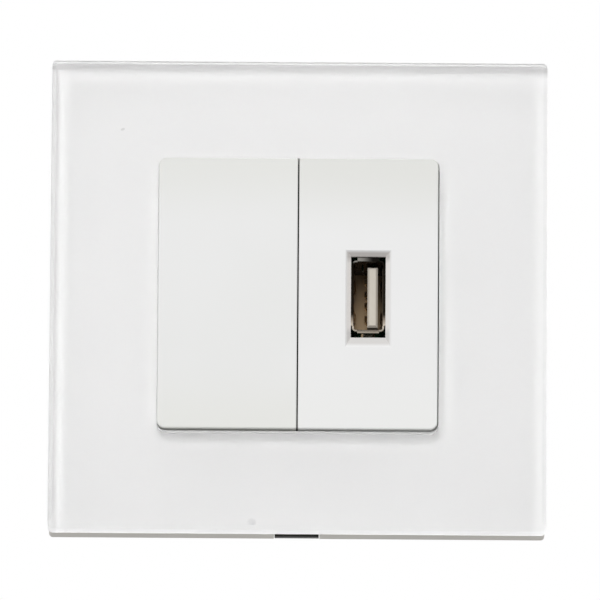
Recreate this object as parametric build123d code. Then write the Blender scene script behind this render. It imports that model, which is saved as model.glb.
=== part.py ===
# Wall socket with a USB data port: a glass panel over a mounting grid that holds two half-width modules.
# Sizes are in millimetres. Each piece is drawn facing the viewer, with x to the right, y up and z out of the
# wall, whose surface is z = 0. At the end every piece is stood up, so that z becomes -Y and y becomes +Z.
import os

from build123d import *

# glass panel
plate_width = 89.0
plate_height = 86.6
plate_corner = 0.9
glass_thickness = 4.0
glass_bevel = 0.7
window_bevel = 0.25
window_corner = 1.6

# plastic frame behind the glass
frame_depth = 4.1
bond_gap = 0.1
frame_inset = 0.2
frame_wall = 1.8
frame_web = 1.4
frame_window_gap = 0.3
corner_gusset = 7.0
notch_width = 8.1
notch_roof = 0.4
leg_thickness = 1.5
leg_width = 6.5
leg_reach = 4.5
leg_offset_y = 14.0
leg_taper = 0.45
leg_fit = 0.05

# the two modules and how they stand in the window
module_width = 24.95
module_height = 50.0
module_split = 0.25
module_proud = 0.5
module_corner = 1.4
module_inner_corner = 0.3
module_edge = 0.15
gap_left = 0.05
gap_right = 0.20
gap_top = 0.15
gap_bottom = 0.30
face_thickness = 1.8
module_wall = 1.4
body_side_step = 0.7
body_end_step = 3.0
blank_body_reach = 6.0
face_rib = 1.0
face_rib_depth = 2.2
latch_width = 9.0
latch_slit = 0.8
latch_root = 1.8
latch_bite = 0.8
latch_land = 0.4
latch_ramp = 3.2
latch_fit = 0.1
latch_pocket_gap = 0.4

# mounting grid
grid_thickness = 2.4
grid_field = 1.5
grid_rim = 2.2
grid_rib = 1.2
grid_end_fields = 4
grid_field_corner = 0.8
grid_margin = 1.6
aperture_gap = 0.1
middle_bar_gap = 0.2
pry_tab_gap = 0.1
pry_tab_lift = 0.3
pry_tab_thickness = 1.2
box_screw_spacing = 60.3
box_slot_width = 4.0
box_slot_length = 7.0
box_slot_pad = 3.2
guide_wall = 1.2
guide_depth = 4.0

# cut-out for the port in the face of the module
port_width = 6.2
port_height = 15.0
port_drop = 0.45
bevel_side = 1.0
bevel_top = 0.95
bevel_bottom = 1.95
bevel_depth = 0.8
lip_pocket = 0.6
lip_pocket_gap = 0.15

# receptacle
shell_bore_width = 5.12
shell_bore_height = 12.5
shell_bore_corner = 0.35
sheet = 0.3
sheet_cut = 0.01
lip_flare = 0.45
lip_run = 0.55
lip_knee_run = 0.3
lip_knee_in = 0.11
lip_knee_out = 0.18
lip_front_gap = 0.05
long_lip = 11.2
short_lip = 3.9
receptacle_length = 13.9
shell_foot_gap = 0.15
finger_width = 1.7
finger_length = 5.2
finger_bend = 0.4
finger_tip = 1.3
finger_tip_bend = 0.16
finger_window_gap = 0.35
finger_setback = 2.2
finger_offset_y = 2.9
shell_leg_width = 1.6
shell_leg_offset_y = 4.6
tongue_thickness = 1.84
tongue_width = 11.1
tongue_recess = 1.4
tongue_side_gap = 0.85
tongue_tip_bevel = 0.35
insulator_base = 4.2
insulator_fit = 0.03
contact_width = 1.0
contact_thickness = 0.25
contact_tail_width = 0.6
contact_shoulder = 1.0
contact_crest = 0.4
contact_crest_setback = 2.3
contact_crest_flat = 0.6
contact_bend_start = 1.0
contact_groove = 0.5
contact_fit = 0.05
contact_rows = (-3.5, -1.0, 1.0, 3.5)
tail_reach = 1.2

# circuit board
board_thickness = 1.6
board_gap = 0.2
board_corner = 1.0
board_wall_step = 0.15
tail_hole_radius = 0.5
leg_hole_gap = 0.25
board_screw_offset_x = 6.6
board_screw_inset = 3.1
board_screw_hole = 1.2
boss_radius = 2.3
pilot_radius = 0.85
pilot_depth = 7.0
screw_fit = 0.05
board_screw_length = 6.0
board_head_radius = 1.9
board_head_height = 1.4
board_head_bevel = 0.45
cross_slot = 0.5
cross_span = 2.2
cross_depth = 0.8
ledge_width = 3.2
ledge_offset_x = 8.0
ledge_reach = 1.1
ledge_depth = 3.0
hook_lip = 0.9
hook_thickness = 0.9
hook_fit = 0.05

# four-way screw terminal on the back of the board
terminal_ways = 4
terminal_pitch = 5.0
terminal_partition = 0.9
terminal_floor = 0.9
terminal_front_wall = 1.0
terminal_back = 2.6
terminal_rise = 3.0
terminal_slope = 3.2
terminal_slope_in = 0.7
cage_fit = 0.1
cage_depth = 4.0
cage_side = 0.7
cage_base = 0.7
cage_head = 1.3
cage_head_gap = 0.6
screw_pitch = 0.45
screw_turns = 3
closing_gap = 0.1
bar_width = 2.2
bar_thickness = 0.7
bar_fit = 0.05
pin_side = 0.9
pin_setback = 1.3
pin_reach = 1.2
pin_hole_radius = 0.75
roof_gap = 0.15
roof = 0.6
screw_radius = 1.25
screw_head_radius = 1.9
screw_head_height = 1.3
screw_head_recess = 0.5
screw_head_gap = 0.1
screw_slot = 0.6
screw_slot_depth = 0.7
entry_width = 2.6
entry_height = 2.4
entry_funnel = 0.35

# places that follow from the sizes above
glass_back = frame_depth + bond_gap
glass_front = glass_back + glass_thickness
web_back = frame_depth - frame_web
pair_width = 2 * module_width + module_split
window_width = pair_width + gap_left + gap_right
window_height = module_height + gap_top + gap_bottom
pair_left = gap_left - window_width / 2
blank_x = pair_left + module_width / 2
usb_x = pair_left + module_width * 1.5 + module_split
module_y = (gap_bottom - gap_top) / 2
face_z = glass_front + module_proud
face_back = face_z - face_thickness
body_half_width = module_width / 2 - body_side_step
body_half_height = module_height / 2 - body_end_step
aperture_half_width = window_width / 2 - body_side_step + aperture_gap
aperture_half_height = window_height / 2 - body_end_step + aperture_gap
latch_seat = grid_thickness - grid_field
leg_x = aperture_half_width + guide_wall + leg_fit + leg_thickness / 2
port_y = module_y - port_drop
receptacle_y = module_y
mouth_z = face_back + lip_pocket - lip_front_gap
board_front = mouth_z - receptacle_length
board_back = board_front - board_thickness
bore_half_width = shell_bore_width / 2
bore_half_height = shell_bore_height / 2
tongue_right = usb_x + bore_half_width - tongue_side_gap
tongue_left = tongue_right - tongue_thickness
tongue_tip = mouth_z - tongue_recess
board_half_width = body_half_width - module_wall - board_gap
board_half_height = body_half_height - module_wall - board_gap
board_screw_y = module_y + board_half_height - board_screw_inset
board_screw_places = [(usb_x + side * board_screw_offset_x, board_screw_y) for side in (-1, 1)]

# heights in the screw terminal, counted from the back of the board
cage_travel = screw_pitch * screw_turns
cage_low = terminal_floor + cage_fit
cage_sill = cage_low + cage_base
bar_low = cage_sill + cage_travel + closing_gap
bar_high = bar_low + bar_thickness
cage_lintel = bar_high + cage_head_gap
cage_high = cage_lintel + cage_head
terminal_ceiling = cage_high + cage_travel + roof_gap
head_seat = terminal_ceiling + roof
head_low = head_seat + screw_fit
head_high = head_low + screw_head_height
terminal_high = head_high + screw_head_recess
terminal_length = terminal_ways * terminal_pitch
terminal_low_y = module_y - board_half_height + terminal_rise
cavity_low_y = terminal_low_y + terminal_front_wall
cavity_high_y = cavity_low_y + cage_depth + 2 * cage_fit
terminal_high_y = cavity_high_y + terminal_back
screw_y = (cavity_low_y + cavity_high_y) / 2
pin_y = cavity_high_y + pin_setback
cavity_half_width = (terminal_pitch - terminal_partition) / 2
way_x = [usb_x + (way - (terminal_ways - 1) / 2) * terminal_pitch for way in range(terminal_ways)]


def block(x0, x1, y0, y1, z0, z1):
    centre = Pos((x0 + x1) / 2, (y0 + y1) / 2, (z0 + z1) / 2)
    return centre * Box(x1 - x0, y1 - y0, z1 - z0)


def drum(x, y, z0, z1, radius):
    return Pos(x, y, (z0 + z1) / 2) * Cylinder(radius, z1 - z0)


def slab(outline, z0, z1):
    return Pos(0, 0, z0) * extrude(outline, z1 - z0)


def upright_profile(points, y, width):
    # a closed outline given in x and z, made this wide about y
    outline = Plane.XZ * make_face(Polyline(*points, close=True))
    return Pos(0, y, 0) * extrude(outline, width / 2, both=True)


def sideways_profile(points, x, width):
    # a closed outline given in y and z, made this wide about x
    outline = Plane.YZ * make_face(Polyline(*points, close=True))
    return Pos(x, 0, 0) * extrude(outline, width / 2, both=True)


def behind_board(height):
    return board_back - height


def make_glass_panel():
    outline = RectangleRounded(plate_width, plate_height, plate_corner)
    window = RectangleRounded(window_width, window_height, window_corner)
    pane = slab(outline - window, glass_back, glass_front)
    rim = pane.faces().sort_by(Axis.Z)[-1].outer_wire().edges()
    pane = chamfer(rim, glass_bevel)
    window_rim = pane.faces().sort_by(Axis.Z)[-1].inner_wires()[0].edges()
    return chamfer(window_rim, window_bevel)


def make_panel_frame():
    width = plate_width - 2 * frame_inset
    height = plate_height - 2 * frame_inset
    inner_half_width = width / 2 - frame_wall
    inner_half_height = height / 2 - frame_wall
    tray = slab(RectangleRounded(width, height, plate_corner - frame_inset), 0, frame_depth)
    tray -= block(-inner_half_width, inner_half_width, -inner_half_height, inner_half_height, 0, web_back)
    opening_width = window_width + 2 * frame_window_gap
    opening_height = window_height + 2 * frame_window_gap
    tray -= slab(RectangleRounded(opening_width, opening_height, window_corner), 0, frame_depth)
    leg_outline = Rectangle(leg_thickness, leg_width)
    for right in (-1, 1):
        for up in (-1, 1):
            corner = Polyline(
                (right * inner_half_width, up * inner_half_height),
                (right * (inner_half_width - corner_gusset), up * inner_half_height),
                (right * inner_half_width, up * (inner_half_height - corner_gusset)),
                close=True,
            )
            tray += slab(make_face(corner), 0, web_back)
            leg = slab(leg_outline, -leg_reach, web_back)
            leg = chamfer(leg.faces().sort_by(Axis.Z)[0].edges(), leg_taper)
            tray += Pos(right * leg_x, up * leg_offset_y, 0) * leg
    notch_half = notch_width / 2
    tray -= block(-notch_half, notch_half, -height / 2, -inner_half_height, 0, frame_depth - notch_roof)
    return tray


def make_mounting_grid():
    half_width = plate_width / 2 - frame_inset - frame_wall - grid_margin
    half_height = plate_height / 2 - frame_inset - frame_wall - grid_margin
    outline = Rectangle(2 * half_width, 2 * half_height)
    outline = chamfer(outline.vertices(), corner_gusset)
    plate = slab(outline, 0, grid_thickness)
    guide_half_width = leg_thickness / 2 + leg_fit + guide_wall
    guide_half_height = leg_width / 2 + leg_fit + guide_wall
    # thin ribbed fields between the rims, on the side that lies against the wall
    field_high = half_height - grid_rim
    field_low = aperture_half_height + grid_rim
    field_half_width = half_width - corner_gusset - grid_rim
    field_pitch = (2 * field_half_width + grid_rib) / grid_end_fields
    field = slab(Rectangle(field_pitch - grid_rib, field_high - field_low), 0, latch_seat)
    for up in (-1, 1):
        middle_y = up * (field_high + field_low) / 2
        for number in range(grid_end_fields):
            middle_x = (number + 0.5) * field_pitch - field_half_width - grid_rib / 2
            plate -= Pos(middle_x, middle_y, 0) * field
        # pockets at the edge of the aperture, so that the modules' latches stay below the wall side
        pocket_reach = aperture_half_height + latch_bite + latch_pocket_gap
        pocket = (up * aperture_half_height, module_y + up * pocket_reach)
        pocket_half = latch_width / 2 + latch_pocket_gap
        for x in (blank_x, usb_x):
            plate -= block(x - pocket_half, x + pocket_half, min(pocket), max(pocket), 0, latch_seat)
    side_low = leg_x + guide_half_width + grid_rim
    side_high = half_width - grid_rim
    side_middle = (side_low + side_high) / 2
    side_half_height = half_height - corner_gusset - 2 * grid_rim
    for right in (-1, 1):
        slot_x = right * box_screw_spacing / 2
        pad = SlotOverall(box_slot_length + 2 * box_slot_pad, box_slot_width + 2 * box_slot_pad)
        side_field = RectangleRounded(side_high - side_low, 2 * side_half_height, grid_field_corner)
        side_field = Pos(right * side_middle, 0) * side_field - Pos(slot_x, 0) * pad
        plate -= slab(side_field, 0, latch_seat)
        plate -= Pos(slot_x, 0, 0) * slab(SlotOverall(box_slot_length, box_slot_width), 0, grid_thickness)
        for up in (-1, 1):
            place = Pos(right * leg_x, up * leg_offset_y, 0)
            guide = Rectangle(2 * guide_half_width, 2 * guide_half_height)
            plate += place * slab(guide, -guide_depth, grid_thickness)
            passage = Rectangle(leg_thickness + 2 * leg_fit, leg_width + 2 * leg_fit)
            plate -= place * slab(passage, -guide_depth, grid_thickness)
    # a tab that stands in the pry notch of the frame, for the tool to bear on
    tab_half = notch_width / 2 - pry_tab_gap
    tab_low = frame_inset - plate_height / 2
    plate += block(-tab_half, tab_half, tab_low, -half_height, pry_tab_lift, pry_tab_lift + pry_tab_thickness)
    bar_half = body_side_step + module_split / 2 - middle_bar_gap
    bar_x = (blank_x + usb_x) / 2
    aperture = Rectangle(2 * aperture_half_width, 2 * aperture_half_height)
    aperture -= Pos(bar_x, 0) * Rectangle(2 * bar_half, 2 * aperture_half_height)
    return plate - slab(aperture, -guide_depth, grid_thickness)


def make_module(centre_x, rounded_side, body_back):
    # a cap that shows in the window, a narrower body behind it and a sprung latch at each end
    outline = Rectangle(module_width, module_height)
    by_side = outline.vertices().sort_by(Axis.X)
    rounded = by_side[:2] if rounded_side < 0 else by_side[2:]
    outline = fillet(rounded, module_corner)
    by_side = outline.vertices().sort_by(Axis.X)
    square = by_side[-2:] if rounded_side < 0 else by_side[:2]
    outline = fillet(square, module_inner_corner)
    cap = slab(outline, grid_thickness, face_z)
    cap = chamfer(cap.faces().sort_by(Axis.Z)[-1].edges(), module_edge)
    wide = body_half_width
    tall = body_half_height
    moulding = cap + block(-wide, wide, -tall, tall, body_back, grid_thickness)
    inner_wide = wide - module_wall
    inner_tall = tall - module_wall
    moulding -= block(-inner_wide, inner_wide, -inner_tall, inner_tall, body_back, face_back)
    latch_half = latch_width / 2
    barb_reach = aperture_half_height - tall + latch_bite
    for up in (-1, 1):
        # the thick ends of the cap are cored out from behind
        core = (up * tall, up * (module_height / 2 - module_wall))
        moulding -= block(-inner_wide, inner_wide, min(core), max(core), grid_thickness, face_back)
        wall = (up * tall, up * inner_tall)
        for side in (-1, 1):
            slit = (side * latch_half, side * (latch_half + latch_slit))
            moulding -= block(min(slit), max(slit), min(wall), max(wall), body_back, latch_root)
        hold = latch_seat - latch_fit
        barb = [
            (up * tall, hold),
            (up * (tall + barb_reach), hold),
            (up * (tall + barb_reach), hold - latch_land),
            (up * tall, hold - latch_ramp),
        ]
        moulding += sideways_profile(barb, 0, latch_width)
    return Pos(centre_x, module_y, 0) * moulding


def make_blank_module():
    moulding = make_module(blank_x, -1, -blank_body_reach)
    inner_wide = body_half_width - module_wall
    inner_tall = body_half_height - module_wall
    rib_low = face_back - face_rib_depth
    ribs = block(-face_rib / 2, face_rib / 2, -inner_tall, inner_tall, rib_low, face_back)
    for part_way in (-1, 0, 1):
        y = part_way * inner_tall / 2
        ribs += block(-inner_wide, inner_wide, y - face_rib / 2, y + face_rib / 2, rib_low, face_back)
    return moulding + Pos(blank_x, module_y, 0) * ribs


def make_usb_module():
    wall_back = board_back + board_wall_step
    moulding = make_module(usb_x, 1, wall_back)
    opening = Rectangle(port_width, port_height)
    bevel_outline = Rectangle(port_width + 2 * bevel_side, port_height + bevel_top + bevel_bottom)
    bevel_outline = Pos(0, (bevel_top - bevel_bottom) / 2) * bevel_outline
    place = Pos(usb_x, port_y, 0)
    moulding -= place * slab(opening, face_back, face_z)
    moulding -= place * loft([Pos(0, 0, face_z - bevel_depth) * opening, Pos(0, 0, face_z) * bevel_outline])
    lip_room = sheet + lip_flare + lip_pocket_gap
    pocket = Rectangle(2 * (bore_half_width + lip_room), 2 * (bore_half_height + lip_room))
    moulding -= Pos(usb_x, receptacle_y, 0) * slab(pocket, face_back, face_back + lip_pocket)
    for x, y in board_screw_places:
        moulding += drum(x, y, board_front, face_back, boss_radius)
        moulding -= drum(x, y, board_front, board_front + pilot_depth, pilot_radius)
    # the lower end of the board lies between two ledges and two hooks on the lower wall
    wall_low = module_y - body_half_height
    wall_high = wall_low + module_wall
    hook_back = board_back - hook_fit - hook_thickness
    for side in (-1, 1):
        x0 = usb_x + side * ledge_offset_x - ledge_width / 2
        x1 = x0 + ledge_width
        ledge = [
            (wall_high, board_front),
            (wall_high + ledge_reach, board_front),
            (wall_high, board_front + ledge_depth),
        ]
        moulding += sideways_profile(ledge, (x0 + x1) / 2, ledge_width)
        moulding += block(x0, x1, wall_low, wall_high, hook_back, wall_back)
        moulding += block(x0, x1, wall_high, wall_high + hook_lip, hook_back, board_back - hook_fit)
    return moulding


def make_finger(root_z):
    # sprung finger of a wall that stands at x = 0 to sheet, pressed towards -x, its root nearest the mouth
    middle = sheet / 2
    low = root_z - finger_length
    path = Polyline(
        (middle, root_z + sheet),
        (middle, root_z - sheet),
        (middle - finger_bend, low + finger_tip),
        (middle - finger_tip_bend, low),
    )
    strip = Plane.XZ * trace(path, sheet)
    return extrude(strip, finger_width / 2, both=True)


def make_usb_shell():
    foot = board_front + shell_foot_gap
    straight = mouth_z - lip_run
    outer = RectangleRounded(
        shell_bore_width + 2 * sheet, shell_bore_height + 2 * sheet, shell_bore_corner + sheet
    )
    bore = RectangleRounded(shell_bore_width, shell_bore_height, shell_bore_corner)
    tube = slab(outer - bore, foot, straight)
    root_z = mouth_z - finger_setback
    window_half = finger_width / 2 + finger_window_gap
    window_low = root_z - finger_length - finger_window_gap
    finger = make_finger(root_z)
    window = block(-sheet_cut, sheet + sheet_cut, -window_half, window_half, window_low, root_z)
    lip = [
        (0, straight),
        (sheet, straight),
        (sheet + lip_knee_out, straight + lip_knee_run),
        (sheet + lip_flare, mouth_z),
        (lip_flare, mouth_z),
        (lip_knee_in, straight + lip_knee_run),
    ]
    long_wall = Pos(bore_half_width, 0, 0)
    short_wall = Pos(bore_half_height, 0, 0)
    for turn in (0, 180):
        for up in (-1, 1):
            place = Rot(0, 0, turn) * long_wall * Pos(0, up * finger_offset_y, 0)
            tube -= place * window
            tube += place * finger
            leg_half = shell_leg_width / 2
            leg_y = up * shell_leg_offset_y
            leg = block(0, sheet, leg_y - leg_half, leg_y + leg_half, board_back - tail_reach, foot)
            tube += Rot(0, 0, turn) * long_wall * leg
        tube += Rot(0, 0, turn) * long_wall * upright_profile(lip, 0, long_lip)
        place = Rot(0, 0, turn + 90) * short_wall
        tube -= place * window
        tube += place * finger
        tube += place * upright_profile(lip, 0, short_lip)
    return Pos(usb_x, receptacle_y, 0) * tube


def make_usb_insulator():
    base = RectangleRounded(
        shell_bore_width - 2 * insulator_fit, shell_bore_height - 2 * insulator_fit, shell_bore_corner
    )
    base_top = board_front + insulator_base
    moulding = Pos(usb_x, receptacle_y, 0) * slab(base, board_front, base_top)
    half = tongue_width / 2
    low = receptacle_y - half
    high = receptacle_y + half
    tongue = block(tongue_left, tongue_right, low, high, base_top, tongue_tip)
    tongue = chamfer(tongue.faces().sort_by(Axis.Z)[-1].edges(), tongue_tip_bevel)
    moulding += tongue
    groove_floor = tongue_left + contact_groove
    groove_half = contact_width / 2 + contact_fit
    groove_top = tongue_tip - 2 * tongue_tip_bevel
    for row in contact_rows:
        low = receptacle_y + row - groove_half
        high = receptacle_y + row + groove_half
        moulding -= block(tongue_left, groove_floor, low, high, board_front, groove_top)
    return moulding


def make_usb_contact(row):
    bed = tongue_left + contact_groove - contact_fit - contact_thickness / 2
    crest = tongue_left - contact_crest
    tip_z = tongue_tip - 3 * tongue_tip_bevel
    crest_z = tongue_tip - contact_crest_setback
    path = Polyline(
        (bed, board_back - tail_reach),
        (bed, board_front + insulator_base + contact_bend_start),
        (crest, crest_z - contact_crest_flat),
        (crest, crest_z),
        (bed, tip_z),
    )
    strip = Plane.XZ * trace(path, contact_thickness)
    strip = extrude(strip, contact_width / 2, both=True)
    for side in (-1, 1):
        cut = (side * contact_tail_width / 2, side * contact_width)
        strip -= block(
            bed - contact_thickness,
            bed + contact_thickness,
            min(cut),
            max(cut),
            board_back - 2 * tail_reach,
            board_front + contact_shoulder,
        )
    return Pos(0, receptacle_y + row, 0) * strip


def make_circuit_board():
    outline = RectangleRounded(2 * board_half_width, 2 * board_half_height, board_corner)
    board = Pos(usb_x, module_y, 0) * slab(outline, board_back, board_front)
    tail_x = tongue_left + contact_groove - contact_fit - contact_thickness / 2
    for row in contact_rows:
        board -= drum(tail_x, receptacle_y + row, board_back, board_front, tail_hole_radius)
    leg_slot = SlotOverall(shell_leg_width + 2 * leg_hole_gap, sheet + 2 * leg_hole_gap, rotation=90)
    for side in (-1, 1):
        x = usb_x + side * (bore_half_width + sheet / 2)
        for up in (-1, 1):
            slot = slab(leg_slot, board_back, board_front)
            board -= Pos(x, receptacle_y + up * shell_leg_offset_y, 0) * slot
    for x, y in board_screw_places:
        board -= drum(x, y, board_back, board_front, board_screw_hole)
    for x in way_x:
        board -= drum(x, pin_y, board_back, board_front, pin_hole_radius)
    return board


def make_board_screw(x, y):
    head_back = board_back - board_head_height
    head = drum(x, y, head_back, board_back, board_head_radius)
    head = chamfer(head.edges().sort_by(Axis.Z)[0], board_head_bevel)
    span = cross_span / 2
    half = cross_slot / 2
    head -= block(x - span, x + span, y - half, y + half, head_back, head_back + cross_depth)
    head -= block(x - half, x + half, y - span, y + span, head_back, head_back + cross_depth)
    return head + drum(x, y, board_back, board_back + board_screw_length, pilot_radius - screw_fit)


def make_terminal_housing():
    profile = [
        (terminal_low_y, behind_board(0)),
        (terminal_high_y, behind_board(0)),
        (terminal_high_y, behind_board(terminal_high)),
        (terminal_low_y + terminal_slope_in, behind_board(terminal_high)),
        (terminal_low_y, behind_board(terminal_high - terminal_slope)),
    ]
    housing = sideways_profile(profile, usb_x, terminal_length)
    entry_mid = (cage_sill + bar_low) / 2
    bar_half = bar_width / 2 + bar_fit
    pin_half = pin_side / 2 + bar_fit
    for x in way_x:
        housing -= block(
            x - cavity_half_width,
            x + cavity_half_width,
            cavity_low_y,
            cavity_high_y,
            behind_board(terminal_ceiling),
            behind_board(terminal_floor),
        )
        # a rectangular wire entry with a funnel round it
        entry = Rectangle(entry_width, entry_height)
        funnel = Rectangle(entry_width + 2 * entry_funnel, entry_height + 2 * entry_funnel)
        way_in = Plane((x, terminal_low_y, behind_board(entry_mid)), (1, 0, 0), (0, 1, 0))
        housing -= way_in * extrude(entry, terminal_front_wall)
        housing -= way_in * loft([funnel, Pos(0, 0, entry_funnel) * entry])
        # the bed of the bar, and the shaft of its pin down to the board
        housing -= block(
            x - bar_half,
            x + bar_half,
            cavity_high_y,
            pin_y + pin_half,
            behind_board(bar_high + bar_fit),
            behind_board(bar_low - bar_fit),
        )
        shaft = Pos(x, pin_y) * Rectangle(2 * pin_half, 2 * pin_half)
        housing -= slab(shaft, behind_board(bar_high), behind_board(0))
        neck = screw_radius + screw_head_gap
        housing -= drum(x, screw_y, behind_board(head_seat), behind_board(terminal_ceiling), neck)
        recess = screw_head_radius + screw_head_gap
        housing -= drum(x, screw_y, behind_board(terminal_high), behind_board(head_seat), recess)
    return housing


def make_terminal_cage(x):
    width = 2 * (cavity_half_width - cage_fit)
    place = Pos(x, screw_y)
    cage = slab(place * Rectangle(width, cage_depth), behind_board(cage_high), behind_board(cage_low))
    wire_space = place * Rectangle(width - 2 * cage_side, cage_depth)
    cage -= slab(wire_space, behind_board(cage_lintel), behind_board(cage_sill))
    thread = screw_radius + screw_fit
    return cage - drum(x, screw_y, behind_board(cage_high), behind_board(cage_lintel), thread)


def make_terminal_pin(x):
    bar_end = pin_y + pin_side / 2
    half = bar_width / 2
    bar = block(
        x - half, x + half, cavity_low_y + cage_fit, bar_end, behind_board(bar_high), behind_board(bar_low)
    )
    pin = Pos(x, pin_y) * Rectangle(pin_side, pin_side)
    return bar + slab(pin, behind_board(bar_low), board_front + pin_reach)


def make_terminal_screw(x):
    head = drum(x, screw_y, behind_board(head_high), behind_board(head_low), screw_head_radius)
    slot_half = screw_slot / 2
    slot_floor = head_high - screw_slot_depth
    head -= block(
        x - screw_head_radius,
        x + screw_head_radius,
        screw_y - slot_half,
        screw_y + slot_half,
        behind_board(head_high),
        behind_board(slot_floor),
    )
    return head + drum(x, screw_y, behind_board(head_low), behind_board(bar_high + screw_fit), screw_radius)


def save(name, shape):
    export_step(Plane.XZ * shape, f"parts/{name}.step")


os.makedirs("parts", exist_ok=True)
save("glass_panel", make_glass_panel())
save("panel_frame", make_panel_frame())
save("mounting_grid", make_mounting_grid())
save("blank_module", make_blank_module())
save("usb_module", make_usb_module())
save("usb_shell", make_usb_shell())
save("usb_insulator", make_usb_insulator())
for number, row in enumerate(contact_rows, 1):
    save(f"usb_contact_{number}", make_usb_contact(row))
save("circuit_board", make_circuit_board())
save("board_screws", Compound([make_board_screw(x, y) for x, y in board_screw_places]))
save("terminal_housing", make_terminal_housing())
for number, x in enumerate(way_x, 1):
    save(f"terminal_cage_{number}", make_terminal_cage(x))
    save(f"terminal_pin_{number}", make_terminal_pin(x))
    save(f"terminal_screw_{number}", make_terminal_screw(x))
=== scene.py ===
import math

import bmesh
import bpy
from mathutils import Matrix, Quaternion, Vector


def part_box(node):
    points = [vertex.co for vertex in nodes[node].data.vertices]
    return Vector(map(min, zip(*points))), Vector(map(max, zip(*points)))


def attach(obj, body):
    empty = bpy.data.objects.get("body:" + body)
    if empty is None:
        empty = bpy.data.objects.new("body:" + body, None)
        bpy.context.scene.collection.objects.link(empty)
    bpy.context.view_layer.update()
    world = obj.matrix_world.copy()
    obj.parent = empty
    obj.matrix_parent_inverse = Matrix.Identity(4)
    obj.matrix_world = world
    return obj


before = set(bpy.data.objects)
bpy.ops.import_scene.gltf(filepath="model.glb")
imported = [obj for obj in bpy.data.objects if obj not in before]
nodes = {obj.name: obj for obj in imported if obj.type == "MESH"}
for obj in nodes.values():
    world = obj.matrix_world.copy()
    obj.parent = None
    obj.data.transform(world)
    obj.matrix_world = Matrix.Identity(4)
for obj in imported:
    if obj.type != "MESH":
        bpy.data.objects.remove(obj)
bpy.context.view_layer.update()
mm = 0.001
print("frame loaded:", len(nodes), "nodes")


# shader sums
class Wire:
    # one output socket; sums on it add Math nodes to its finish
    def __init__(self, finish, socket):
        self.finish = finish
        self.socket = socket

    def maths(self, operation, *values):
        return self.finish.node("ShaderNodeMath", {"operation": operation}, dict(enumerate(values)))

    def __add__(self, other):
        return self.maths("ADD", self, other)

    def __radd__(self, other):
        return self.maths("ADD", other, self)

    def __sub__(self, other):
        return self.maths("SUBTRACT", self, other)

    def __rsub__(self, other):
        return self.maths("SUBTRACT", other, self)

    def __mul__(self, other):
        return self.maths("MULTIPLY", self, other)

    def __rmul__(self, other):
        return self.maths("MULTIPLY", other, self)

    def __lt__(self, other):
        return self.maths("LESS_THAN", self, other)

    def __gt__(self, other):
        return self.maths("GREATER_THAN", self, other)

    def largest(self, other):
        return self.maths("MAXIMUM", self, other)

    def size(self):
        return self.maths("ABSOLUTE", self)


class Finish:
    # a node tree that is filled from its inputs to its output
    def __init__(self, owner):
        owner.use_nodes = True
        self.owner = owner
        self.tree = owner.node_tree
        self.tree.nodes.clear()

    def node(self, kind, settings=None, sockets=None, output=0):
        made = self.tree.nodes.new(kind)
        for name, value in (settings or {}).items():
            if name == "stops":
                self.setStops(made.color_ramp, value)
            else:
                setattr(made, name, value)
        for name, value in (sockets or {}).items():
            if isinstance(value, Wire):
                self.tree.links.new(value.socket, made.inputs[name])
            else:
                made.inputs[name].default_value = value
        return Wire(self, made.outputs[output]) if len(made.outputs) else None

    def setStops(self, ramp, stops):
        while len(ramp.elements) < len(stops):
            ramp.elements.new(1.0)
        for element, (position, colour) in zip(ramp.elements, stops):
            element.position = position
            element.color = (*colour, 1.0)

    def place(self):
        return self.node("ShaderNodeTexCoord", output="Object")

    def axis(self, vector, letter):
        return self.node("ShaderNodeSeparateXYZ", sockets={"Vector": vector}, output=letter)

    def stretched(self, vector, scale):
        return self.node("ShaderNodeVectorMath", {"operation": "MULTIPLY"}, {0: vector, 1: scale})

    def noise(self, vector, scale, detail=3.0, roughness=0.55):
        sockets = {"Vector": vector, "Scale": scale, "Detail": detail, "Roughness": roughness}
        return self.node("ShaderNodeTexNoise", sockets=sockets)

    def blend(self, share, first, second):
        sockets = {0: share, 6: first, 7: second}
        return self.node("ShaderNodeMix", {"data_type": "RGBA"}, sockets, output=2)

    def ease(self, value, low, high):
        sockets = {"Value": value, "From Min": low, "From Max": high}
        return self.node("ShaderNodeMapRange", {"interpolation_type": "SMOOTHSTEP"}, sockets)

    def bump(self, height, strength, distance):
        sockets = {"Height": height, "Strength": strength, "Distance": distance}
        return self.node("ShaderNodeBump", sockets=sockets)

    def mixed(self, share, first, second):
        return self.node("ShaderNodeMixShader", sockets={0: share, 1: first, 2: second})

    def shader(self, sockets):
        return self.node("ShaderNodeBsdfPrincipled", sockets=sockets)

    def done(self, shader):
        self.node("ShaderNodeOutputMaterial", sockets={"Surface": shader})
        return self.owner

    def surface(self, sockets):
        return self.done(self.shader(sockets))


def newFinish(name):
    return Finish(bpy.data.materials.new(name))


def rgb(red, green, blue):
    return (red, green, blue, 1.0)


def grey(level):
    return rgb(level, level, level)


def wear(obj, *materials):
    obj.data.materials.clear()
    for material in materials:
        obj.data.materials.append(material)


def addObject(name, data):
    obj = bpy.data.objects.new(name, data)
    bpy.context.scene.collection.objects.link(obj)
    return obj


def closeMesh(mesh, name):
    made = bpy.data.meshes.new(name)
    mesh.to_mesh(made)
    mesh.free()
    return made


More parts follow.
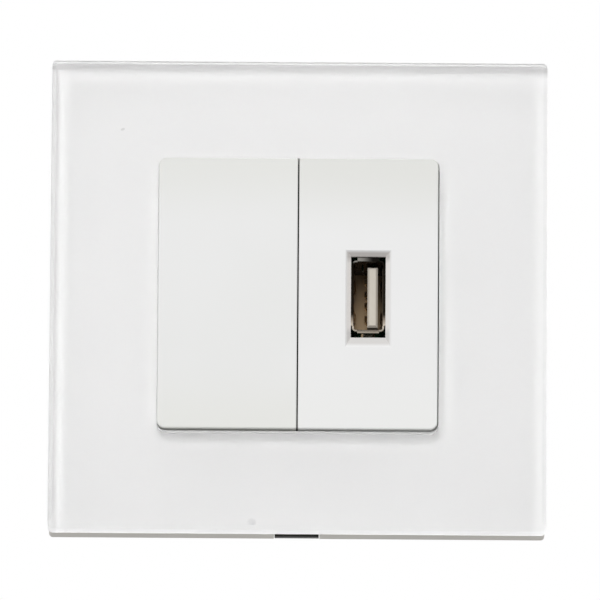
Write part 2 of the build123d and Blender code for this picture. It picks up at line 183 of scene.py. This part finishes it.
# moulded plastics
plasticLooks = {
    "blankWhite": {
        "colour": rgb(0.828, 0.830, 0.824), "clouded": rgb(0.815, 0.818, 0.808), "cloudScale": 38.0,
        "roughness": 0.46, "sparkScale": 5200.0, "sparkDepth": 0.006 * mm,
        "ends": {
            "lower": rgb(0.800, 0.803, 0.775), "upper": rgb(0.785, 0.788, 0.762),
            "reach": (12 * mm, 25 * mm),
        },
    },
    "socketWhite": {
        "colour": rgb(0.856, 0.857, 0.856), "clouded": rgb(0.843, 0.844, 0.841), "cloudScale": 42.0,
        "roughness": 0.44, "sparkScale": 5200.0, "sparkDepth": 0.006 * mm,
        "ends": {
            "lower": rgb(0.850, 0.852, 0.841), "upper": rgb(0.770, 0.773, 0.745),
            "reach": (9 * mm, 24 * mm),
        },
        # painted shade on the bevel round the port
        "hollow": {
            "reach": (4.7 * mm, 10.9 * mm), "depth": 0.4 * mm, "margin": 2 * mm,
            "stops": [
                (0.0, (0.66, 0.645, 0.63)), (0.10, (0.66, 0.645, 0.63)),
                (0.16, (0.825, 0.795, 0.77)), (0.82, (0.825, 0.795, 0.77)),
                (0.88, (0.565, 0.54, 0.52)),
            ],
        },
    },
    # painted shade: the white carrier is coloured a darker warm grey, standing in for the shade and
    # warm bounce light on its underside
    "carrierWhite": {
        "colour": rgb(0.71, 0.68, 0.62), "clouded": rgb(0.68, 0.65, 0.59), "cloudScale": 55.0,
        "roughness": 0.40, "sparkScale": 3800.0, "sparkDepth": 0.008 * mm,
    },
    "gridBlack": {
        "colour": rgb(0.024, 0.0225, 0.019), "clouded": rgb(0.034, 0.032, 0.028),
        "cloudScale": 60.0, "roughness": 0.48, "sparkScale": 2600.0, "sparkDepth": 0.012 * mm,
    },
    "tongueWhite": {
        "colour": rgb(0.645, 0.600, 0.53), "clouded": rgb(0.610, 0.567, 0.497), "cloudScale": 260.0,
        "roughness": 0.38, "sparkScale": 9000.0, "sparkDepth": 0.003 * mm,
        # painted shade: brown and dark deep inside the receptacle, darkest above
        "deep": {
            "reach": (0.8 * mm, 6.0 * mm),
            "stops": [
                (0.1, (0.71, 0.53, 0.33)), (0.5, (0.40, 0.27, 0.14)), (0.85, (0.17, 0.09, 0.022)),
            ],
        },
    },
    "terminalGreen": {
        "colour": rgb(0.055, 0.30, 0.135), "clouded": rgb(0.045, 0.265, 0.118), "cloudScale": 150.0,
        "roughness": 0.42, "sparkScale": 4200.0, "sparkDepth": 0.006 * mm,
    },
}
plasticGrain = {
    "detail": 2.0, "cloudBand": (0.35, 0.65), "sparkFineness": 0.7, "sheenSwing": 0.12, "bump": 0.6,
}


def plasticFinish(name):
    look = plasticLooks[name]
    grain = plasticGrain
    finish = newFinish(name)
    place = finish.place()
    patches = finish.noise(place, look["cloudScale"], grain["detail"])
    cloud = finish.ease(patches, *grain["cloudBand"])
    spark = finish.noise(place, look["sparkScale"], grain["detail"], grain["sparkFineness"])
    colour = finish.blend(cloud, look["colour"], look["clouded"])
    if "ends" in look:
        # the upper and lower ends of a cap are a little darker and yellower
        ends = look["ends"]
        up = finish.axis(place, "Z")
        colour = finish.blend(finish.ease(up, *ends["reach"]), colour, ends["upper"])
        colour = finish.blend(finish.ease(0 - up, *ends["reach"]), colour, ends["lower"])
    if "deep" in look:
        colour = paintedInnerShade(finish, place, look["deep"], colour)
    if "hollow" in look:
        colour = paintedBevelShade(finish, place, look["hollow"], colour)
    return finish.surface({
        "Base Color": colour,
        "Roughness": look["roughness"] + (spark - 0.5) * grain["sheenSwing"],
        "Normal": finish.bump(spark, grain["bump"], look["sparkDepth"]),
    })


def heightColour(finish, place, look):
    # a colour that changes from the lower to the upper end of the port
    low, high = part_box("usb_shell")
    margin = look.get("margin", 0.0)
    height = finish.node("ShaderNodeMapRange", sockets={
        "Value": finish.axis(place, "Z"), "From Min": low.z - margin, "From Max": high.z + margin,
    })
    return finish.node("ShaderNodeValToRGB", {"stops": look["stops"]}, {0: height})


def paintedInnerShade(finish, place, look, colour):
    # painted shade: inside the receptacle everything is painted brown and dark, darkest towards its
    # upper end, where least light falls
    low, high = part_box("usb_shell")
    inward = finish.ease(finish.axis(place, "Y") - low.y, *look["reach"])
    if look.get("innerOnly"):
        # faces that look towards the middle of the receptacle
        middle = (low + high) / 2
        normal = finish.node("ShaderNodeNewGeometry", output="True Normal")
        outward = (finish.axis(place, "X") - middle.x) * finish.axis(normal, "X")
        outward = outward + (finish.axis(place, "Z") - middle.z) * finish.axis(normal, "Z")
        inward = inward * (outward < 0.0)
    return finish.blend(inward, colour, heightColour(finish, place, look))


def paintedBevelShade(finish, place, look, colour):
    # painted shade: the bevel round the port is painted darker than the face, most of all above
    low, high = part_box("usb_shell")
    middle = (low + high) / 2
    reachX, reachZ = look["reach"]
    inside = (finish.axis(place, "X") - middle.x).size() < reachX
    inside = inside * ((finish.axis(place, "Z") - middle.z).size() < reachZ)
    depth = finish.axis(place, "Y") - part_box("usb_module")[0].y
    share = inside * finish.ease(depth, 0.0, look["depth"])
    return finish.blend(share, colour, heightColour(finish, place, look))


# metals
metalLooks = {
    "shellNickel": {
        "colour": rgb(0.56, 0.51, 0.45), "dull": rgb(0.46, 0.41, 0.35), "roughness": 0.26,
        "drawn": (6000.0, 500.0, 6000.0), "scratch": 0.004 * mm,
        # painted shade on the rim of the shell, with a painted highlight on its upper lip
        "rim": {
            "reach": (2.6 * mm, 3.4 * mm),
            "stops": [
                (0.05, (0.34, 0.30, 0.25)), (0.10, (0.66, 0.59, 0.50)),
                (0.17, (0.34, 0.285, 0.23)), (0.25, (0.016, 0.012, 0.008)),
                (0.88, (0.009, 0.007, 0.005)), (1.0, (0.010, 0.009, 0.008)),
            ],
            "gleam": rgb(0.26, 0.25, 0.23),
            "gleamAcross": (-0.9 * mm, 1.7 * mm), "gleamDown": (0.5 * mm, 1.0 * mm),
        },
        # painted shade: the inner walls of the shell turn brown and dark deep inside
        "deep": {
            "reach": (0.3 * mm, 0.6 * mm), "innerOnly": True,
            "stops": [
                (0.10, (0.10, 0.075, 0.05)), (0.18, (0.40, 0.30, 0.20)),
                (0.80, (0.15, 0.10, 0.055)), (0.88, (0.03, 0.022, 0.014)),
            ],
        },
    },
    "contactGold": {
        "colour": rgb(0.97, 0.88, 0.72), "dull": rgb(0.90, 0.74, 0.50), "roughness": 0.30,
        "drawn": (2500.0, 700.0, 9000.0), "scratch": 0.003 * mm,
    },
    "cageNickel": {
        "colour": rgb(0.66, 0.64, 0.58), "dull": rgb(0.52, 0.50, 0.45), "roughness": 0.33,
        "drawn": (3000.0, 900.0, 900.0), "scratch": 0.006 * mm,
    },
    "pinTin": {
        "colour": rgb(0.70, 0.69, 0.66), "dull": rgb(0.56, 0.55, 0.53), "roughness": 0.38,
        "drawn": (900.0, 2500.0, 900.0), "scratch": 0.005 * mm,
    },
    "screwZinc": {
        "colour": rgb(0.66, 0.67, 0.69), "dull": rgb(0.52, 0.53, 0.52), "roughness": 0.30,
        "drawn": (1800.0, 1800.0, 1800.0), "scratch": 0.005 * mm,
    },
    "solderBright": {
        "colour": rgb(0.72, 0.72, 0.71), "dull": rgb(0.60, 0.60, 0.59), "roughness": 0.24,
        "drawn": (1500.0, 1500.0, 1500.0), "scratch": 0.003 * mm,
    },
}
metalGrain = {
    "drawnDetail": 4.0, "drawnFineness": 0.65, "sheenSwing": 0.16, "bump": 0.5,
    "stainScale": 420.0, "stainBand": (0.42, 0.68), "stainMatt": 0.07,
}


def paintedRimShadeAndHighlight(finish, place, look, colour):
    # painted shade and highlight: the rim is painted dark, all but its lower lip, and the left half
    # of its upper lip is a painted highlight
    low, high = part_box("usb_shell")
    paintedRimShade = heightColour(finish, place, look)
    leftward = (low.x + high.x) / 2 - finish.axis(place, "X")
    leftHalf = finish.ease(leftward, *look["gleamAcross"])
    upperLip = 1 - finish.ease(high.z - finish.axis(place, "Z"), *look["gleamDown"])
    paintedRimShade = finish.blend(leftHalf * upperLip, paintedRimShade, look["gleam"])
    forward = 1 - finish.ease(finish.axis(place, "Y") - low.y, *look["reach"])
    return finish.blend(forward, colour, paintedRimShade)


def metalFinish(name):
    look = metalLooks[name]
    grain = metalGrain
    finish = newFinish(name)
    place = finish.place()
    lengthwise = finish.stretched(place, look["drawn"])
    drawn = finish.noise(lengthwise, 1.0, grain["drawnDetail"], grain["drawnFineness"])
    stain = finish.ease(finish.noise(place, grain["stainScale"]), *grain["stainBand"])
    colour = finish.blend(stain, look["colour"], look["dull"])
    if "rim" in look:
        colour = paintedRimShadeAndHighlight(finish, place, look["rim"], colour)
    if "deep" in look:
        colour = paintedInnerShade(finish, place, look["deep"], colour)
    sheen = look["roughness"] + (drawn - 0.5) * grain["sheenSwing"]
    return finish.surface({
        "Base Color": colour,
        "Metallic": 1.0,
        "Roughness": sheen + stain * grain["stainMatt"],
        "Normal": finish.bump(drawn, grain["bump"], look["scratch"]),
    })


# glass pane with white paint on its back
glassLook = {
    "tint": rgb(0.998, 0.993, 0.993), "ior": 1.52,
    "smear": 0.012, "smearScale": (60.0, 60.0, 25.0), "smearDetail": 4.0,
    "speck": (-31.72 * mm, 30.38 * mm), "speckLength": 0.42 * mm, "speckWidth": 0.24 * mm,
    "speckTilt": 24.0, "speckFade": (0.5, 1.3), "speckColour": rgb(0.70, 0.70, 0.69),
    "smudge": (-8.05 * mm, -42.2 * mm), "smudgeRadius": 0.9 * mm, "smudgeFade": (0.1, 1.2),
    "smudgeScale": 900.0, "smudgeDetail": 2.0, "smudgeColour": rgb(0.52, 0.52, 0.53),
}


def glassFinish():
    look = glassLook
    finish = newFinish("clearGlass")
    place = finish.place()
    across = finish.axis(place, "X")
    up = finish.axis(place, "Z")
    # a dust speck and a faint smudge lie on the pane
    speckX = across - look["speck"][0]
    speckZ = up - look["speck"][1]
    turn = math.radians(look["speckTilt"])
    along = (speckX * math.cos(turn) + speckZ * math.sin(turn)) * (1 / look["speckLength"])
    aside = (speckZ * math.cos(turn) - speckX * math.sin(turn)) * (1 / look["speckWidth"])
    speck = 1 - finish.ease(along * along + aside * aside, *look["speckFade"])
    smudgeX = (across - look["smudge"][0]) * (1 / look["smudgeRadius"])
    smudgeZ = (up - look["smudge"][1]) * (1 / look["smudgeRadius"])
    patch = finish.noise(place, look["smudgeScale"], look["smudgeDetail"])
    disc = 1 - finish.ease(smudgeX * smudgeX + smudgeZ * smudgeZ, *look["smudgeFade"])
    tinted = finish.blend(disc * patch, look["tint"], look["smudgeColour"])
    smear = finish.noise(finish.stretched(place, look["smearScale"]), 1.0, look["smearDetail"])
    return finish.surface({
        "Base Color": finish.blend(speck, tinted, look["speckColour"]),
        "Roughness": smear * look["smear"],
        "Transmission Weight": 1.0,
        "IOR": look["ior"],
    })


# painted shade: the cut sides of the pane are tinted grey, so they let in less light than its
# front, least of all the upper one
edgeLooks = {
    "cutWall": {"plain": 0.62, "left": 0.42, "top": 0.24, "bottom": 0.98},
    "cutArris": {"plain": 0.90, "left": 0.80, "top": 0.80, "bottom": 0.98, "ground": 0.75},
    # painted shade: the upward arris of the window is tinted dark, so less light reaches the glass
    # below the modules
    "windowArris": {"plain": 0.58},
}
edgeGrain = {
    "scale": 700.0, "sideFade": (2 * mm, 1 * mm), "topFade": (1.2 * mm, 0.2 * mm),
    "groundBand": (0.72 * mm, 0.34 * mm), "groundWhite": grey(0.94), "groundDull": grey(0.90),
}


def edgeFinish(name):
    look = edgeLooks[name]
    finish = newFinish(name)
    place = finish.place()
    low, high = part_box("glass_panel")
    up = finish.axis(place, "Z")
    # each side's outward distance, where the pane ends, and how its tint fades in before that
    sides = {
        "left": (0 - finish.axis(place, "X"), -low.x, edgeGrain["sideFade"]),
        "bottom": (0 - up, -low.z, edgeGrain["sideFade"]),
        "top": (up, high.z, edgeGrain["topFade"]),
    }
    tint = grey(look["plain"])
    for side, (outward, end, fade) in sides.items():
        share = finish.ease(outward, end - fade[0], end - fade[1])
        tint = finish.blend(share, tint, grey(look.get(side, look["plain"])))
    grain = finish.noise(place, edgeGrain["scale"])
    polished = finish.shader({
        "Base Color": tint,
        "Roughness": grain * glassLook["smear"],
        "Transmission Weight": 1.0,
        "IOR": glassLook["ior"],
    })
    if "ground" not in look:
        return finish.done(polished)
    # the inner half of the upper arris is left ground, and shows as a pale line
    matt = finish.shader({
        "Base Color": finish.blend(grain, edgeGrain["groundWhite"], edgeGrain["groundDull"]),
    })
    inmost, outmost = edgeGrain["groundBand"]
    inner = (up > high.z - inmost) * (up < high.z - outmost)
    return finish.done(finish.mixed(inner * look["ground"], polished, matt))


paintLooks = {
    "backPaint": {"colour": grey(0.970), "thin": grey(0.963), "roughness": 0.6},
    # painted shade: the window walls and the sill are darker than the back
    "windowShadePaint": {
        "colour": rgb(0.935, 0.935, 0.93), "thin": rgb(0.915, 0.915, 0.91), "roughness": 0.7,
    },
    "sillShadePaint": {
        "colour": rgb(0.865, 0.865, 0.86), "thin": rgb(0.84, 0.84, 0.835), "roughness": 0.7,
    },
}
paintGrain = {"scale": 24.0, "detail": 2.0, "sheenSwing": 0.1}


def paintFinish(name):
    look = paintLooks[name]
    finish = newFinish(name)
    cloud = finish.noise(finish.place(), paintGrain["scale"], paintGrain["detail"])
    return finish.surface({
        "Base Color": finish.blend(cloud, look["colour"], look["thin"]),
        "Roughness": look["roughness"] + (cloud - 0.5) * paintGrain["sheenSwing"],
        "Specular IOR Level": 0.0,
    })


paneFaces = {"border": 5 * mm, "flat": 0.9, "upright": 0.3, "upward": 0.3}


def dressGlass():
    # paint covers the back of the pane and the walls of its window; the walls are painted a little
    # darker and the sill darker still, as painted shade in the gap round the modules
    pane = nodes["glass_panel"]
    paints = [paintFinish(name) for name in paintLooks]
    wear(pane, glassFinish(), *paints, *[edgeFinish(name) for name in edgeLooks])
    front, back, windowWall, sill, cutWall, cutArris, windowArris = range(7)
    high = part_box("glass_panel")[1]
    windowX = high.x - paneFaces["border"]
    windowZ = high.z - paneFaces["border"]
    for face in pane.data.polygons:
        inside = abs(face.center.x) < windowX and abs(face.center.z) < windowZ
        wall = abs(face.normal.y) < paneFaces["upright"]
        slanted = face.normal.y > -paneFaces["flat"]
        upward = face.normal.z > paneFaces["upward"]
        face.material_index = front
        if face.normal.y > paneFaces["flat"]:
            face.material_index = back
        elif wall and inside:
            face.material_index = sill if upward else windowWall
        elif wall:
            face.material_index = cutWall
        elif slanted and not inside:
            face.material_index = cutArris
        elif slanted and upward:
            face.material_index = windowArris


# circuit board
boardLook = {
    "mask": rgb(0.018, 0.150, 0.060), "maskDeep": rgb(0.014, 0.120, 0.050), "cloudScale": 120.0,
    "edge": rgb(0.50, 0.46, 0.27), "edgeTilt": 0.5, "edgeMatt": 0.35,
    "weave": (1.0, 0.3, 1.0), "weaveScale": 2400.0, "weaveDepth": 0.006 * mm, "bump": 0.4,
    "detail": 2.0, "roughness": 0.30, "sheenSwing": 0.1,
}
traceLook = {
    "colour": rgb(0.030, 0.235, 0.090), "deep": rgb(0.024, 0.200, 0.078), "cloudScale": 300.0,
    "detail": 2.0, "roughness": 0.30, "sheenSwing": 0.08, "coat": 0.4,
    "width": 0.5 * mm, "rise": 0.04 * mm, "mitreLimit": 0.3,
    "away": 2.1 * mm,  # room that the second trace leaves to the wall of the receptacle
}
leadPlaces = {
    "contactHalf": 0.125 * mm, "pinHalf": 0.45 * mm,
    "legSpread": 2.71 * mm,  # from the middle of the receptacle to the middle of a wall
    "legReach": 4.6 * mm,
}
wayNumbers = range(1, 5)


def boardFinish():
    look = boardLook
    finish = newFinish("boardMask")
    place = finish.place()
    normal = finish.node("ShaderNodeNewGeometry", output="Normal")
    rim = finish.axis(normal, "Y").size() < look["edgeTilt"]
    weave = finish.noise(finish.stretched(place, look["weave"]), look["weaveScale"], look["detail"])
    cloud = finish.noise(place, look["cloudScale"], look["detail"])
    mask = finish.blend(cloud, look["mask"], look["maskDeep"])
    sheen = look["roughness"] + rim * look["edgeMatt"]
    return finish.surface({
        "Base Color": finish.blend(rim, mask, look["edge"]),
        "Roughness": sheen + (weave - 0.5) * look["sheenSwing"],
        "Normal": finish.bump(weave, look["bump"], look["weaveDepth"]),
    })


def traceFinish():
    look = traceLook
    finish = newFinish("coveredCopper")
    cloud = finish.noise(finish.place(), look["cloudScale"], look["detail"])
    return finish.surface({
        "Base Color": finish.blend(cloud, look["colour"], look["deep"]),
        "Roughness": look["roughness"] + (cloud - 0.5) * look["sheenSwing"],
        "Coat Weight": look["coat"],
    })


def keep(name, mesh, material, body):
    obj = addObject(name, mesh)
    wear(obj, material)
    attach(obj, body)


def tailPlace(number):
    # where a contact's tail comes through the board
    low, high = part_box(f"usb_contact_{number}")
    return Vector((high.x - leadPlaces["contactHalf"], high.y, (low.z + high.z) / 2))


def pinPlace(number):
    # where a terminal's pin comes through the board
    low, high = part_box(f"terminal_pin_{number}")
    return Vector(((low.x + high.x) / 2, low.y, high.z - leadPlaces["pinHalf"]))


def legPlaces():
    low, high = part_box("usb_shell")
    middle = (low + high) / 2
    places = []
    for side in (-1, 1):
        for up in (-1, 1):
            x = middle.x + side * leadPlaces["legSpread"]
            places.append(Vector((x, high.y, middle.z + up * leadPlaces["legReach"])))
    return places


def makeTraces():
    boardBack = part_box("circuit_board")[1].y
    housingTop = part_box("terminal_housing")[1].z
    tails = [tailPlace(number) for number in wayNumbers]
    pins = [pinPlace(number) for number in wayNumbers]

    def across(start, end):
        # slants at 45 degrees to the line of the pin, then drops to the terminal
        drop = abs(end.x - start.x)
        return [(start.x, start.z), (end.x, start.z - drop), (end.x, housingTop)]

    bypass = pins[2].x + traceLook["away"]
    slantIn = housingTop + traceLook["away"]
    routes = [
        across(tails[0], pins[1]),
        [
            (tails[1].x, tails[1].z), (bypass, tails[1].z - (bypass - tails[1].x)),
            (bypass, slantIn), (pins[2].x, housingTop),
        ],
        across(tails[2], pins[0]),
        across(tails[3], pins[3]),
    ]
    mesh = bmesh.new()
    for route in routes:
        layStrip(mesh, route, boardBack)
    made = closeMesh(mesh, "board_traces")
    keep("board_traces", made, traceFinish(), "base")


def layStrip(mesh, route, floorY):
    # a flat strip with mitred corners on the back of the board
    width, rise = traceLook["width"], traceLook["rise"]
    points = [Vector(point) for point in route]
    rows = []
    for index, point in enumerate(points):
        before = points[max(index - 1, 0)]
        after = points[min(index + 1, len(points) - 1)]
        into = (point - before) if index else (after - point)
        out = (after - point) if index < len(points) - 1 else into
        into = into.normalized()
        out = out.normalized()
        side = Vector((-into.y, into.x)) + Vector((-out.y, out.x))
        side = side.normalized() * (width / 2 / max(side.length / 2, traceLook["mitreLimit"]))
        corners = []
        for sign, height in ((1, 0.0), (1, rise), (-1, rise), (-1, 0.0)):
            edge = point + side * sign
            corners.append(mesh.verts.new((edge.x, floorY + height, edge.y)))
        rows.append(corners)
    for first, second in zip(rows, rows[1:]):
        joinRows(mesh, first, second)
    mesh.faces.new(rows[0])
    mesh.faces.new(reversed(rows[-1]))
    bmesh.ops.recalc_face_normals(mesh, faces=mesh.faces[:])


def joinRows(mesh, first, second):
    # a closed band of four-sided faces between two rows of points
    for index in range(len(first)):
        following = (index + 1) % len(first)
        mesh.faces.new((first[index], first[following], second[following], second[index]))


# solder: each joint's pad radius, neck radius and height
solderLook = {
    "steps": 7, "sides": 20, "hollow": 2.4,
    "tail": (0.95 * mm, 0.34 * mm, 0.85 * mm), "pin": (1.25 * mm, 0.62 * mm, 0.95 * mm),
    "leg": (0.75 * mm, 0.30 * mm, 0.80 * mm), "legStretch": 1.9,
}


def raiseFillet(mesh, place, floorY, outward, sizes, stretch=1.0):
    # a concave cone of solder round a lead
    look = solderLook
    pad, neck, height = sizes
    rings = []
    for step in range(look["steps"] + 1):
        share = step / look["steps"]
        radius = neck + (pad - neck) * (1 - share) ** look["hollow"]
        ring = []
        for side in range(look["sides"]):
            turn = 2 * math.pi * side / look["sides"]
            x = place.x + radius * math.cos(turn)
            z = place.z + radius * math.sin(turn) * stretch
            ring.append(mesh.verts.new((x, floorY + outward * height * share, z)))
        rings.append(ring)
    for lower, upper in zip(rings, rings[1:]):
        joinRows(mesh, lower, upper)
    mesh.faces.new(rings[0])
    mesh.faces.new(rings[-1])


def makeSolder():
    low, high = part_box("circuit_board")
    mesh = bmesh.new()
    for number in wayNumbers:
        raiseFillet(mesh, tailPlace(number), high.y, 1, solderLook["tail"])
        raiseFillet(mesh, pinPlace(number), low.y, -1, solderLook["pin"])
    for place in legPlaces():
        raiseFillet(mesh, place, high.y, 1, solderLook["leg"], solderLook["legStretch"])
    bmesh.ops.recalc_face_normals(mesh, faces=mesh.faces[:])
    made = closeMesh(mesh, "solder_joints")
    for face in made.polygons:
        face.use_smooth = len(face.vertices) == 4  # the end caps stay flat
    keep("solder_joints", made, metalFinish("solderBright"), "base")


# every other CAD node gets its finish
plasticNodes = {
    "blank_module": "blankWhite", "usb_module": "socketWhite", "panel_frame": "carrierWhite",
    "mounting_grid": "gridBlack", "usb_insulator": "tongueWhite",
    "terminal_housing": "terminalGreen",
}


def dressNodes():
    for node, name in plasticNodes.items():
        wear(nodes[node], plasticFinish(name))
    wear(nodes["usb_shell"], metalFinish("shellNickel"))
    wear(nodes["circuit_board"], boardFinish())
    screw = metalFinish("screwZinc")
    wear(nodes["board_screws"], screw)
    repeated = {
        "usb_contact": metalFinish("contactGold"), "terminal_cage": metalFinish("cageNickel"),
        "terminal_pin": metalFinish("pinTin"), "terminal_screw": screw,
    }
    for stem, material in repeated.items():
        for number in wayNumbers:
            wear(nodes[f"{stem}_{number}"], material)


dressGlass()
dressNodes()
makeTraces()
makeSolder()
print("finishes on", len(nodes), "nodes, solder and traces added")


# studio
studio = {
    "ambient": 0.492, "white": 1.0,
    "floorDrop": 3.9, "floorRadius": 14.0, "floorSides": 64,
    "floorColour": grey(0.80), "floorCloud": grey(0.78), "cloudScale": 3.0, "cloudDetail": 2.0,
}
# the first lamp isn't mirrored in the pane, and the second stands behind the plate, for its back
lamps = {
    "keyLamp": {
        "size": (0.80, 0.90), "distance": 1.4, "azimuth": -10.0, "elevation": 22.0,
        "share": 0.630, "mirrored": False,
    },
    "fillLamp": {
        "size": (0.9, 0.7), "distance": 1.6, "azimuth": -160.0, "elevation": 36.0,
        "share": 0.40, "mirrored": True,
    },
}


def sightRays(finish):
    # rays that show the surroundings rather than light the object
    kinds = [finish.node("ShaderNodeLightPath", output=name) for name in
             ("Is Camera Ray", "Is Glossy Ray", "Is Transmission Ray")]
    bounced = finish.node("ShaderNodeLightPath", output="Diffuse Depth") > 0.5
    return kinds[0].largest(kinds[1]).largest(kinds[2]) * (1 - bounced)


def makeWorld():
    world = bpy.data.worlds.new("studio")
    bpy.context.scene.world = world
    finish = Finish(world)
    seen = sightRays(finish)
    glow = seen * studio["white"] + (1 - seen) * studio["ambient"]
    light = finish.node("ShaderNodeBackground", sockets={"Color": grey(1), "Strength": glow})
    finish.node("ShaderNodeOutputWorld", sockets={"Surface": light})


def makeFloor():
    mesh = bmesh.new()
    bmesh.ops.create_circle(
        mesh, cap_ends=True, segments=studio["floorSides"], radius=studio["floorRadius"])
    floor = addObject("floor", closeMesh(mesh, "floor"))
    floor.location.z = -studio["floorDrop"]
    finish = newFinish("paleFloor")
    cloud = finish.noise(finish.place(), studio["cloudScale"], studio["cloudDetail"])
    pale = finish.blend(cloud, studio["floorColour"], studio["floorCloud"])
    matt = finish.node("ShaderNodeBsdfDiffuse", sockets={"Color": pale})
    white = finish.node("ShaderNodeEmission", sockets={"Strength": studio["white"]})
    wear(floor, finish.done(finish.mixed(sightRays(finish), matt, white)))


def direction(azimuth, elevation):
    # from the object outwards, with azimuth 0 in front of the plate
    turn = math.radians(azimuth)
    rise = math.radians(elevation)
    level = math.cos(rise)
    return Vector((math.sin(turn) * level, -math.cos(turn) * level, math.sin(rise)))


def makeLamp(name):
    look = lamps[name]
    lamp = bpy.data.lights.new(name, "AREA")
    lamp.shape = "RECTANGLE"
    lamp.size, lamp.size_y = look["size"]
    lamp.energy = look["share"] * (math.pi * look["distance"]) ** 2
    obj = addObject(name, lamp)
    back = direction(look["azimuth"], look["elevation"])
    obj.location = back * look["distance"]
    obj.rotation_mode = "QUATERNION"
    obj.rotation_quaternion = (-back).to_track_quat("-Z", "Y")
    obj.visible_camera = False
    obj.visible_glossy = look["mirrored"]


makeWorld()
makeFloor()
for lampName in lamps:
    makeLamp(lampName)
print("studio ready")


# camera, a long lens a little below the plate
cameraLook = {
    "target": (0.305 * mm, -4.2 * mm, -0.03 * mm), "distance": 3.0, "elevation": -14.7, "roll": 0.4,
    "pictureWidth": 107.59 * mm, "sensor": 36.0, "clip": (0.1, 40.0),
}


def makeCamera():
    look = cameraLook
    lens = bpy.data.cameras.new("camera")
    lens.sensor_width = look["sensor"]
    lens.lens = look["sensor"] * look["distance"] / look["pictureWidth"]
    lens.clip_start, lens.clip_end = look["clip"]
    camera = addObject("camera", lens)
    back = direction(0.0, look["elevation"])
    camera.location = Vector(look["target"]) + back * look["distance"]
    camera.rotation_mode = "QUATERNION"
    roll = Quaternion((0, 0, 1), math.radians(look["roll"]))
    camera.rotation_quaternion = (-back).to_track_quat("-Z", "Y") @ roll
    bpy.context.scene.camera = camera


makeCamera()
scene = bpy.context.scene
scene.view_settings.view_transform = "Standard"
scene.cycles.max_bounces = 24  # light goes to and fro between the paint and the front of the glass
scene.cycles.diffuse_bounces = 10
scene.cycles.glossy_bounces = 10
scene.cycles.transmission_bounces = 16
scene.cycles.blur_glossy = 0.0  # the pane stays clear for light on its way out
scene.cycles.sample_clamp_indirect = 0.0  # and that light isn't clipped
print("camera ready")
